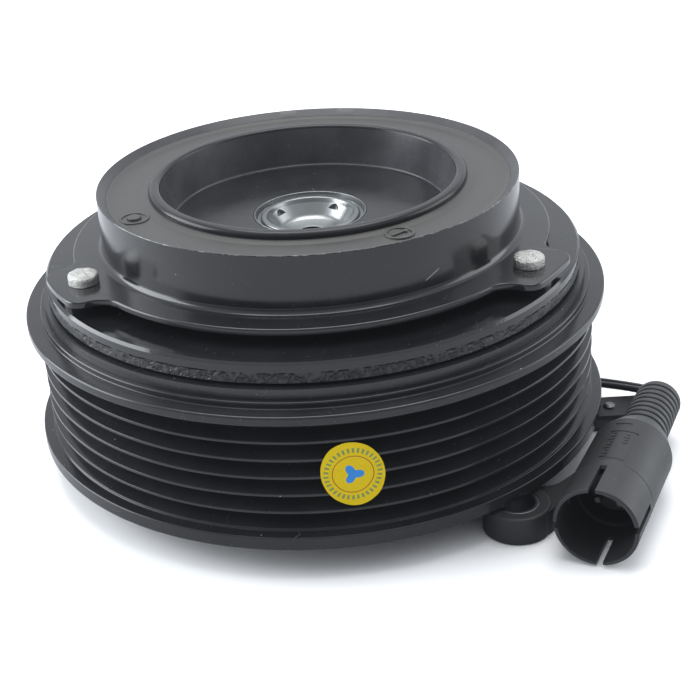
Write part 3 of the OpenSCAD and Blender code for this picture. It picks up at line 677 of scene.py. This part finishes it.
# ---------------------------------------------------------------- rivets
def rivet_set():
    """Three hand-set rivets whose heads keep the hammer's facets."""
    sink_z = low("rivets").z
    head_top_z = high("rivets").z
    head_r, head_h, shank_r, sink_r, sink_depth = 2.9, 2.2, 2.5, 4.0, 1.5
    dent_depth, side_dent = 0.20, 0.10
    profile = rounded([(0, sink_z, 0), (sink_r, sink_z, 0.05), (shank_r, sink_z + sink_depth, 0.05),
                       (shank_r, foot_top_z, 0.0), (head_r, foot_top_z, 0.15),
                       (head_r, head_top_z - 0.2, 0.7), (head_r * 0.5, head_top_z, 0.6), (0, head_top_z, 0)])
    parts = []
    for k in range(ear_count):
        turn = Matrix.Rotation(first_ear + TURN * k / ear_count, 4, "Z")
        mesh = revolve("rivet", profile, turn @ Matrix.Translation((rivet_pitch_r, 0, 0)), segments=72)
        for vertex in mesh.vertices:
            if vertex.co.z > foot_top_z + 0.2:
                dent = noise.noise(vertex.co * 0.85 + Vector((k * 9.0, 0, 0)))
                vertex.co.z -= dent_depth * max(0.0, dent + 0.25) * (vertex.co.z - foot_top_z) / head_h
                vertex.co.x += side_dent * noise.noise(vertex.co * 0.9)
        parts.append(mesh)
    add_piece("rivet_set", combine("rivet_set", parts), "armature", hammered, ["rivets"])


rivet_set()


# ---------------------------------------------------------------- connector
plug = mount("plug_socket")
plug_axis = -Vector(plug["axis"])
mouth = Vector(plug["pos_m"]) / MM
plug_left = Vector((0, 0, 1)).cross(plug_axis).normalized()
plug_up = plug_axis.cross(plug_left)
# Local Z runs from the mouth to the rear, local -X is up and local Y is to the left
plug_place = Matrix.Translation(mouth) @ Matrix((-plug_up, plug_left, plug_axis)).transposed().to_4x4()
sleeve_r, sleeve_l = 7.8, 10.5
body_r, cone_r, cone_start = 7.75, 7.7, 27.0
neck_r, neck_z, housing_l = 5.9, 31.8, 32.6
boot_base_r, boot_tip_r, boot_end = 4.85, 4.6, 50.2
spigot_r, spigot_l = 3.5, 40.0
slot_w, slot_l = 1.3, 8.6
slot_roll = math.radians(-7)
mouth_r, mouth_l = 7.05, 12
socket_r, socket_l = 6.6, 20
seal_r, seal_end = 4.6, 30.3
wire_hole_r = 2.6
eye_mount = mount("connector_eye")
eye = Vector(eye_mount["pos_m"]) / MM
eye_place = Matrix.Translation((eye.x, eye.y, 0))
eye_r, eye_bore_r = 6.4, 4.2
eye_h = eye_mount["dims"]["length_mm"]


def on_body(z, angle, lift):
    """A point on the housing's body, at an angle to the left of its top line."""
    share = (z - sleeve_l) / (cone_start - sleeve_l)
    radius = body_r + (cone_r - body_r) * share + lift
    return mouth + plug_axis * z + radius * (math.cos(angle) * plug_up + math.sin(angle) * plug_left)


def body_bar(z0, z1, angle0, angle1, lift):
    """A low raised bar moulded on the housing's body, with angles in degrees."""
    steps = max(2, round(abs(angle1 - angle0) / 3))
    built = bmesh.new()
    rings = []
    for k in range(steps + 1):
        angle = math.radians(angle0 + (angle1 - angle0) * k / steps)
        corners = ((z0, -0.3), (z1, -0.3), (z1 - 0.06, lift), (z0 + 0.06, lift))
        rings.append([built.verts.new(on_body(z, angle, rise)) for z, rise in corners])
    skin(built, rings, loop=False)
    built.faces.new(rings[0][::-1])
    built.faces.new(rings[-1])
    return to_mesh("bar", built)


def body_marks():
    """A pad with a border, a dash, and plain ticks."""
    bars = [body_bar(24.8, 25.15, -3, 21, 0.10), body_bar(21.7, 22.1, -17, 22, 0.13),
            body_bar(11.6, 21.7, -15, 10, 0.07)]
    bars += [body_bar(11.9 + 1.1 * k, 12.6 + 1.1 * k, 12, 21 - 3 * (k % 3), 0.16) for k in range(9)]
    bars += [body_bar(17.3 + 1.0 * k, 17.9 + 1.0 * k, -8, -1 - 2 * (k % 2), 0.16) for k in range(4)]
    return bars


def housing_body():
    """The turned outside: sleeve, a fine groove, body, cone, neck and the spigot inside the boot."""
    return revolve("housing", rounded([
        (0, 0, 0), (sleeve_r, 0, 0.35), (sleeve_r, sleeve_l - 0.45, 0.05),
        (sleeve_r - 0.18, sleeve_l - 0.25, 0.05), (body_r, sleeve_l, 0.1), (cone_r, cone_start, 0.7),
        (neck_r, neck_z, 1.0), (boot_base_r, housing_l, 0.3), (spigot_r, housing_l, 0.1),
        (spigot_r, spigot_l, 0.2), (0, spigot_l, 0)], steps=6), plug_place, segments=157)


def housing_bore():
    """The hollow: the mouth, the socket, the room for the seal and the wires' way out."""
    bore_end = spigot_l + 5
    return revolve("bore", rounded([
        (0, -1, 0), (mouth_r, -1, 0), (mouth_r, mouth_l, 0.3), (socket_r, mouth_l + 0.5, 0.3),
        (socket_r, socket_l, 0.3), (seal_r, socket_l + 0.2, 0.1), (seal_r, seal_end, 0.2),
        (wire_hole_r, seal_end + 0.2, 0), (wire_hole_r, bore_end, 0), (0, bore_end, 0)]),
        plug_place, segments=128)


def sleeve_slots():
    """A cross-shaped cutter that makes the sleeve's four slots."""
    a, b = slot_w / 2, sleeve_r + 1.2
    cross = [(b, -a), (b, a), (a, a), (a, b), (-a, b), (-a, a),
             (-b, a), (-b, -a), (-a, -a), (-a, -b), (a, -b), (a, -a)]
    return extrude("slots", cross, -1, slot_l, plug_place @ Matrix.Rotation(slot_roll, 4, "Z"))


def eye_web():
    """The web that joins the eye to the housing."""
    edge_y = 0.3 - eye_r
    outline = rounded([(-1.5, edge_y, 0.5), (3.0, edge_y, 3.0), (6.5, -4.9, 4.0), (17, -6.6, 0.5),
                       (17, -0.6, 0.5), (9.0, -1.2, 5.0), (4.6, 3.6, 3.0), (0.0, 4.0, 0.5)], steps=6)
    return extrude("web", outline, 0.1, eye_h - 0.35, eye_place @ Matrix.Rotation(math.radians(40), 4, "Z"))


def connector():
    """The housing, its eye and its web as one moulding.

    The slots are cut before the bore, because the boolean solver drops one of them the other way round.
    """
    lug = revolve("lug", rounded([(0, 0, 0), (eye_r, 0, 0.3), (eye_r, eye_h, 0.7), (0, eye_h, 0)]),
                  eye_place, segments=96)
    hole = revolve("hole", [(0, -1), (eye_bore_r, -1), (eye_bore_r, 9), (0, 9)], eye_place, segments=96)
    mesh = carve(housing_body(), ("UNION", lug), ("UNION", eye_web()), ("DIFFERENCE", sleeve_slots()),
                 ("DIFFERENCE", housing_bore()), ("DIFFERENCE", hole))
    name = "connector_housing_moulding"
    mesh = combine(name, [mesh] + body_marks())
    piece = add_piece(name, mesh, "stator", plastic, ["connector_housing"], sharp_angle=32)
    soften(piece, 0.14, 40)
    piece.modifiers.move(1, 0)


def eye_sleeve():
    """The rolled steel sleeve inside the eye."""
    inner, outer = eye_mount["dims"]["r_mm"], eye_bore_r - 0.02
    bottom, top = 0.05, high("eye_sleeve").z
    profile = rounded([(inner, bottom, 0.2), (outer, bottom, 0.1), (outer, top, 0.25), (inner, top, 0.35)])
    mesh = revolve("eye_sleeve_rolled", profile, eye_place, segments=96)
    add_piece("eye_sleeve_rolled", mesh, "stator", sleeve_steel, ["eye_sleeve"])


def boot():
    """A tapering boot with ribs round it and a rounded nose."""
    rib_h, ribs, nose, bore_r = 0.7, 8, 2.2, 2.3
    start = housing_l + 0.2
    pitch = (boot_end - nose - start) / ribs
    profile = [(spigot_r, start, 0.1)]
    for i in range(ribs):
        z = start + i * pitch
        r = boot_base_r + (boot_tip_r - boot_base_r) * i / ribs
        profile += [(r, z + 0.02, 0.3), (r, z + pitch * 0.66, 0.3), (r - rib_h, z + pitch * 0.74, 0.2),
                    (r - rib_h, z + pitch * 0.92, 0.2)]
    profile += [(boot_tip_r, boot_end - nose, 0.3), (boot_tip_r, boot_end, nose), (bore_r, boot_end, 0.2),
                (bore_r, spigot_l + 1.2, 0.1), (spigot_r, spigot_l + 0.2, 0.1)]
    mesh = revolve("strain_relief_boot_ribbed", rounded(profile), plug_place, segments=96)
    add_piece("strain_relief_boot_ribbed", mesh, "stator", boot_rubber, ["strain_relief_boot"])


def wires():
    """Two wires that leave the boot, turn left behind it and run under the pulley to the coil."""
    wire_r, wire_offset, wire_z, exit_y = 0.7, 0.7, 4.2, 1.2
    under_pulley_x, inside_coil_x = 57, 43
    curve_steps = 48
    leave = mouth + boot_end * plug_axis
    arrive = Vector((under_pulley_x, exit_y, wire_z))
    handles = [leave + 4.2 * plug_axis, arrive + Vector((8, -4.4, 0.5))]
    middle = [mouth + 25 * plug_axis, mouth + spigot_l * plug_axis]
    for i in range(curve_steps + 1):
        t = i / curve_steps
        middle.append((1 - t) ** 3 * leave + 3 * (1 - t) ** 2 * t * handles[0]
                      + 3 * (1 - t) * t * t * handles[1] + t ** 3 * arrive)
    middle += [Vector((high("coil_housing").x + 4, exit_y, wire_z)), Vector((inside_coil_x, exit_y, wire_z))]
    parts = []
    for offset in (-wire_offset, wire_offset):
        path = []
        for i, point in enumerate(middle):
            ahead = (middle[min(i + 1, len(middle) - 1)] - middle[max(i - 1, 0)]).normalized()
            path.append(point + offset * Vector((0, 0, 1)).cross(ahead).normalized())
        parts.append(sweep("wire", path, wire_r))
    add_piece("lead_wires_pair", combine("lead_wires_pair", parts), "stator", wire_skin, ["lead_wires"])


connector()
eye_sleeve()
boot()
wires()


# ---------------------------------------------------------------- label
label_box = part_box("round_label")
label_middle = (label_box[0] + label_box[1]) / 2 / MM
label_around = math.atan2(label_middle.y, label_middle.x)
label_r = (label_box[1].z - label_box[0].z) / 2 / MM
label_ticks = 34
label_lobes = 3


def label_print(tree, place, base):
    """Generic print on the round label: a thin red circle, a ring of green ticks, a blue blot."""
    ticks_r, ticks_half_h, red_r, red_half_w, blot_r, lobe_h = 4.75, 0.42, 3.65, 0.07, 1.45, 0.55
    across = Vector((-math.sin(label_around), math.cos(label_around), 0))
    shifted = put(tree, "ShaderNodeVectorMath", {0: place, 1: -label_middle}, operation="ADD").outputs[0]
    u = put(tree, "ShaderNodeVectorMath", {0: shifted, 1: across}, operation="DOT_PRODUCT").outputs["Value"]
    v = put(tree, "ShaderNodeSeparateXYZ", {0: shifted}).outputs["Z"]
    squares = maths(tree, "ADD", maths(tree, "MULTIPLY", u, u), maths(tree, "MULTIPLY", v, v))
    radius = maths(tree, "SQRT", squares)
    angle = maths(tree, "ARCTAN2", v, u)

    def circle(centre, half, soft=0.05):
        off = maths(tree, "ABSOLUTE", maths(tree, "SUBTRACT", radius, centre))
        return remap(tree, off, (half, half + soft), (1, 0))

    wave = maths(tree, "SINE", maths(tree, "MULTIPLY", angle, label_ticks))
    green = maths(tree, "MULTIPLY", circle(ticks_r, ticks_half_h), remap(tree, wave, (-0.1, 0.2), (0, 1)))
    base = mix(tree, maths(tree, "MULTIPLY", green, 0.75), base, (0.05, 0.22, 0.12, 1))
    red = maths(tree, "MULTIPLY", circle(red_r, red_half_w), 0.8)
    base = mix(tree, red, base, (0.30, 0.03, 0.02, 1))
    lobes = maths(tree, "COSINE", maths(tree, "MULTIPLY", angle, label_lobes))
    blot_edge = maths(tree, "ADD", maths(tree, "MULTIPLY", lobes, lobe_h), blot_r)
    past_edge = maths(tree, "SUBTRACT", radius, blot_edge)
    blot = remap(tree, past_edge, (-0.05, 0.05), (1, 0))
    return mix(tree, maths(tree, "MULTIPLY", blot, 0.95), base, (0.005, 0.25, 0.72, 1))


def label():
    """A thin sticker that lies on the crests and sags a little into the grooves."""
    material = finish_material("label_print", (0.74, 0.53, 0.0), 0.4, worn=(0.80, 0.60, 0.01), seed=50,
                               wear=0.2, dust=0.1, scratch=0.05, mottle=0.3, specular=0.15,
                               extra=label_print)
    rings, steps = 14, 96
    front, back = 0.20, 0.08
    wide, tall, lean = 0.93, 1.05, 0.09
    built = bmesh.new()

    def point(r, k, lift):
        u = wide * r * math.cos(TURN * k / steps)
        v = tall * r * math.sin(TURN * k / steps) - lean * u
        z = label_middle.z + v
        sag = 0.10 * math.cos(TURN * (z - first_groove_z) / groove_pitch)
        angle = label_around + u / crest_r
        out = crest_r + lift - 0.05 - max(0.0, sag)
        return built.verts.new((out * math.cos(angle), out * math.sin(angle), z))

    def circle(j, lift):
        return [point(label_r * j / rings, k, lift) for k in range(steps)]

    loops = [circle(j, front) for j in range(1, rings + 1)] + [circle(j, back) for j in range(rings, 0, -1)]
    front_pole = point(0, 0, front)
    back_pole = point(0, 0, back)
    for here, there in zip(loops, loops[1:]):
        for k in range(steps):
            n = (k + 1) % steps
            built.faces.new((here[k], there[k], there[n], here[n]))
    for k in range(steps):
        n = (k + 1) % steps
        built.faces.new((front_pole, loops[0][k], loops[0][n]))
        built.faces.new((back_pole, loops[-1][n], loops[-1][k]))
    name = "round_label_sticker"
    add_piece(name, to_mesh(name, built), "rotor", material, ["round_label"])


label()


# ---------------------------------------------------------------- CAD nodes that are kept
kept = {
    "mounting_plate": paint_coil,
    "coil_housing": paint_coil,
    "coil_bobbin": finish_material("bobbin_nylon", (0.55, 0.50, 0.38), 0.45, seed=52),
    "coil_winding": bare_metal("winding_copper", 54, (0.72, 0.34, 0.16), 0.3, stretch=(1, 1, 3), tooth=0.03),
    "coil_potting": finish_material("potting_resin", (0.045, 0.035, 0.03), 0.3, seed=56, peel=0.05,
                                    peel_size=4),
    "coil_retaining_ring": bare_metal("ring_steel", 58, (0.42, 0.42, 0.43), 0.3),
    "bearing_inner_ring": turned_steel,
    "bearing_outer_ring": turned_steel,
    "bearing_retaining_ring": bare_metal("snap_steel", 60, (0.40, 0.40, 0.42), 0.32),
    "bearing_circlip": bare_metal("circlip_steel", 62, (0.38, 0.38, 0.40), 0.3),
    "bearing_front_seal": finish_material("seal_rubber_front", (0.16, 0.035, 0.02), 0.5, seed=64),
    "bearing_rear_seal": finish_material("seal_rubber_rear", (0.16, 0.035, 0.02), 0.5, seed=66),
    "bearing_cage": finish_material("cage_polyamide", (0.30, 0.24, 0.10), 0.45, seed=68),
    "bearing_balls": bare_metal("ball_steel", 70, (0.75, 0.75, 0.75), 0.06, wear=0.1, dust=0.0, scratch=0.1),
    "wire_grommet": boot_rubber,
    "wire_bracket": paint_strip,
    "bracket_rivet": sleeve_steel,
    "pin_carrier": plastic,
    # The pins' tin is given a dark colour: painted shade deep in the connector's mouth
    "terminal_pins": bare_metal("pin_tin_painted_shade", 72, (0.09, 0.09, 0.085), 0.4),
    "connector_seal": finish_material("seal_silicone", (0.30, 0.07, 0.03), 0.4, seed=74),
    "rotor": black_paint("paint_rotor", 76, level=0.014, roughness=0.2, dust=0.5, wear=0.6),
    "friction_ring": finish_material("friction_material", (0.12, 0.09, 0.06), 0.8, seed=78, tooth=0.03),
    "armature_plate": paint_armature,
    "rivet_spacers": paint_armature,
    "shims": bare_metal("shim_steel", 80, (0.55, 0.55, 0.53), 0.25),
}
fine_bevel = 0.12
bevels = {"bearing_balls": 0, "bearing_cage": 0, "mounting_plate": 0.3, "coil_housing": 0.35, "rotor": 0.2,
          "armature_plate": 0.25, "wire_bracket": 0.2}
for name, material in kept.items():
    node = frame["nodes"][name]
    node.data.materials.clear()
    node.data.materials.append(material)
    shade(node.data, 35)
    width = bevels.get(name, fine_bevel)
    if width:
        soften(node, width, 35)
    node.modifiers.new("normals", "WEIGHTED_NORMAL").keep_sharp = True


# ---------------------------------------------------------------- floor, light and camera
object_middle = Vector((0, 0, 0.03))
lens_mm = 73.75
lens_at = Vector((0.006257, -0.268729, 0.152101))
lens_tilt = math.radians(26.9)
lens_roll = math.radians(-3.4985)


def floor_material():
    """Pale table, clear from below. The camera sees it brighter than the object's reflections do."""
    material = bpy.data.materials.new("floor_white")
    material.use_nodes = True
    tree = material.node_tree
    shader = tree.nodes["Principled BSDF"]
    shader.inputs["Roughness"].default_value = 0.7
    light_path = put(tree, "ShaderNodeLightPath")
    seen = light_path.outputs["Is Camera Ray"]
    tree.links.new(mix(tree, seen, (0.60, 0.61, 0.63, 1), (1, 1, 1, 1)), shader.inputs["Base Color"])
    clear = put(tree, "ShaderNodeBsdfTransparent")
    below = put(tree, "ShaderNodeNewGeometry").outputs["Backfacing"]
    came_through = maths(tree, "GREATER_THAN", light_path.outputs["Transparent Depth"], 0.5)
    open_share = maths(tree, "MAXIMUM", below, came_through)
    either = put(tree, "ShaderNodeMixShader", {0: open_share, 1: shader.outputs[0], 2: clear.outputs[0]})
    tree.links.new(either.outputs[0], tree.nodes["Material Output"].inputs["Surface"])
    return material


def floor():
    """A square table just under the object."""
    half = 1.2
    z = cad_box[0].z - 0.05 * MM
    corners = [(-half, -half, z), (half, -half, z), (half, half, z), (-half, half, z)]
    mesh = bpy.data.meshes.new("floor")
    mesh.from_pydata(corners, [], [(0, 1, 2, 3)])
    mesh.materials.append(floor_material())
    made = bpy.data.objects.new("floor", mesh)
    scene.collection.objects.link(made)


def softbox(name, location, size, power, colour=(1, 1, 1)):
    """A rectangular light aimed at the middle of the object."""
    light = bpy.data.lights.new(name, "AREA")
    light.shape = "RECTANGLE"
    light.size, light.size_y = size
    light.energy = power
    light.color = colour
    made = bpy.data.objects.new(name, light)
    made.location = location
    aim = object_middle - Vector(location)
    made.rotation_mode = "QUATERNION"
    made.rotation_quaternion = aim.to_track_quat("-Z", "Y")
    scene.collection.objects.link(made)


def camera():
    """The lens looks down at about 27 degrees and is rolled by a few degrees."""
    data = bpy.data.cameras.new("camera")
    data.lens = lens_mm
    data.clip_start = 0.01
    made = bpy.data.objects.new("camera", data)
    right = Vector((1, 0, 0))
    forward = Vector((0, math.cos(lens_tilt), -math.sin(lens_tilt)))
    up = right.cross(forward)
    x = math.cos(lens_roll) * right + math.sin(lens_roll) * up
    y = -math.sin(lens_roll) * right + math.cos(lens_roll) * up
    made.matrix_world = Matrix((
        (x.x, y.x, -forward.x, lens_at.x),
        (x.y, y.y, -forward.y, lens_at.y),
        (x.z, y.z, -forward.z, lens_at.z),
        (0, 0, 0, 1)))
    scene.collection.objects.link(made)
    scene.camera = made


def studio_world():
    """A soft tent: bright overhead and behind the object, darker towards the camera."""
    world = bpy.data.worlds.new("studio")
    world.use_nodes = True
    tree = world.node_tree
    way = put(tree, "ShaderNodeSeparateXYZ", {0: put(tree, "ShaderNodeTexCoord").outputs["Generated"]})
    height = maths(tree, "MULTIPLY", way.outputs["Z"], 0.9)
    level = remap(tree, maths(tree, "ADD", way.outputs["Y"], height), (-0.7, 0.5), (0.25, 1.0))
    background = tree.nodes["Background"]
    background.inputs["Color"].default_value = (0.94, 0.98, 1.04, 1)
    tree.links.new(level, background.inputs["Strength"])
    scene.world = world


def veil():
    """Stray light in the lens lifts the darkest tones a little."""
    look = scene.view_settings
    look.view_transform = "Standard"
    look.use_curve_mapping = True
    look.curve_mapping.black_level = (-0.0055, -0.0060, -0.0070)
    look.curve_mapping.update()


studio_world()
veil()
floor()
softbox("left_box", (-0.6, 0.05, 0.25), (0.5, 0.5), 5.4, (0.92, 0.96, 1.0))
softbox("right_box", (0.65, 0.1, 0.25), (0.5, 0.5), 2.0, (0.94, 0.97, 1.0))
softbox("top_box", (0, 0.2, 0.9), (0.7, 0.7), 7)
camera()
